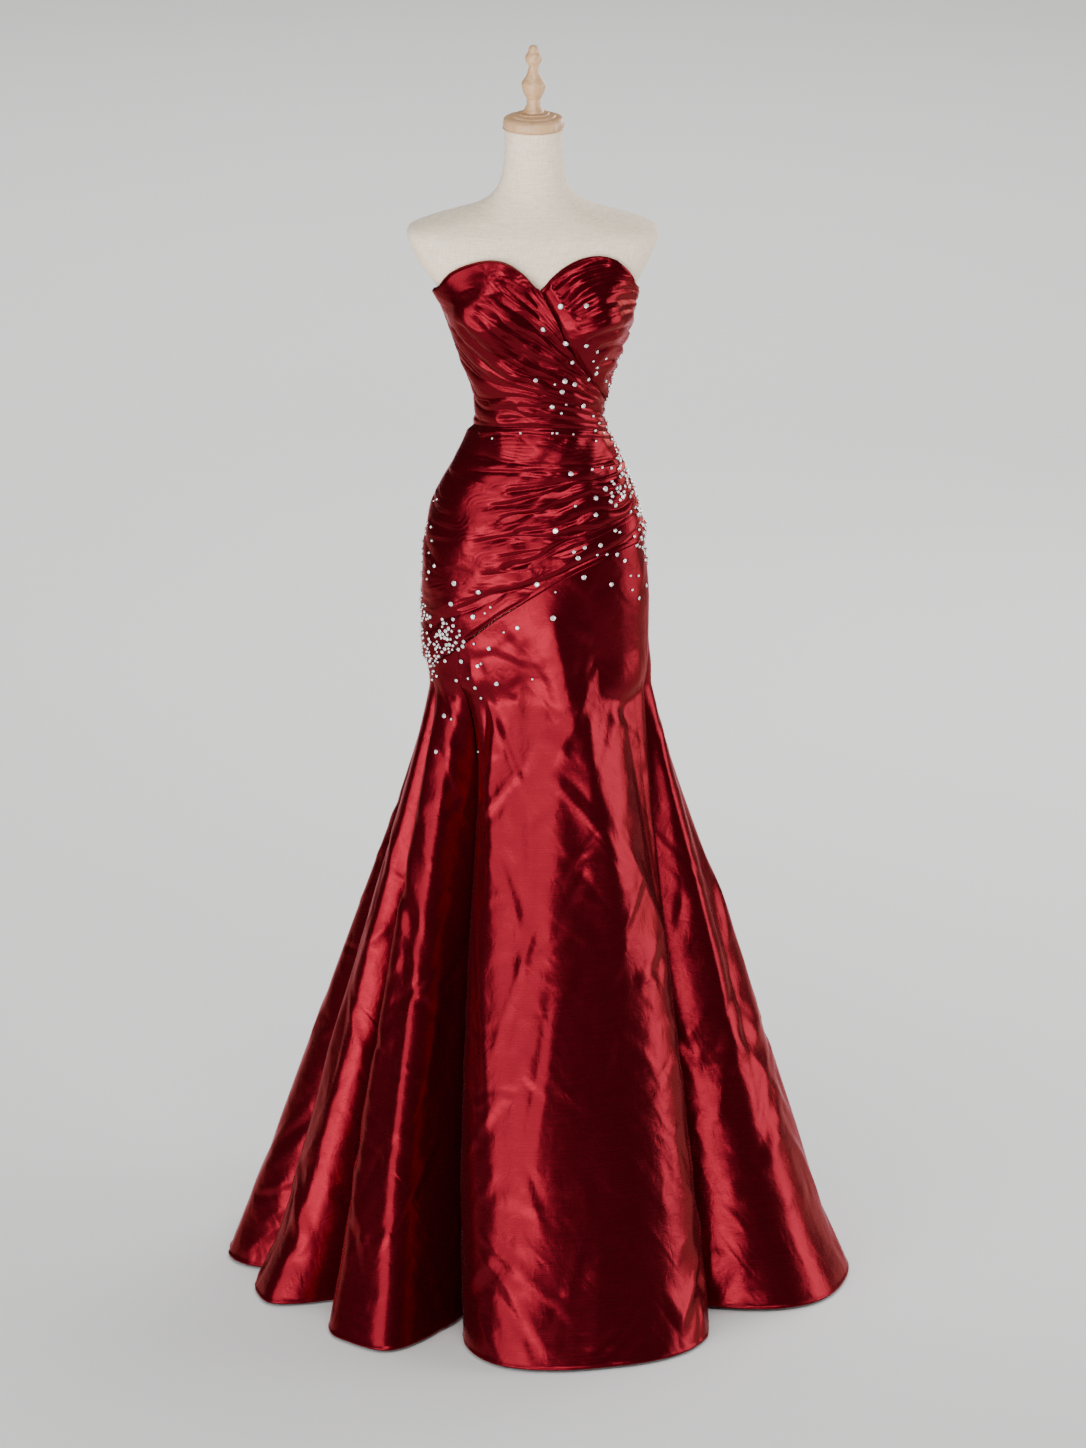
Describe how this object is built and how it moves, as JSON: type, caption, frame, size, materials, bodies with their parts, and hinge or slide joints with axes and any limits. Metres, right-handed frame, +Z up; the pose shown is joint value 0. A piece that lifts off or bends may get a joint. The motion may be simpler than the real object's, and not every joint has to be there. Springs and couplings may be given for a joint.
{
  "type": "mermaid prom dress on a dress form",
  "caption": "Strapless sweetheart mermaid gown in draped crimson taffeta with a flared, folded skirt, worn by a limbless linen dress form on a pole and round base.",
  "frame": {"origin": "on the floor, under the middle of the round base and the pole", "axes": "+Z up, -Y to the front of the gown, +X to the wearer's left"},
  "size_m": [0.918, 0.8961, 1.851],
  "materials": {
    "taffeta": "crisp, shiny taffeta with a satin sheen",
    "crystal": "clear foil-backed crystals and silver beads",
    "linen": "matte plain-weave linen",
    "turned_wood": "pale turned beech, satin varnish",
    "stand_steel": "black satin paint"
  },
  "bodies": {
    "root": {"bodice_wrap": "taffeta", "bodice_cup": "taffeta", "midriff": "taffeta", "hip_drape": "taffeta", "bodice_back_right": "taffeta", "bodice_back_left": "taffeta", "zip_placket": "taffeta", "skirt_back_right": "taffeta", "skirt_side_right": "taffeta", "skirt_front_right": "taffeta", "skirt_front": "taffeta", "skirt_side_left": "taffeta", "skirt_back_left": "taffeta", "form_torso": "linen", "neck_cap": "turned_wood", "finial": "turned_wood", "stand_pole": "stand_steel", "stand_base": "turned_wood"}
  },
  "joints": []
}
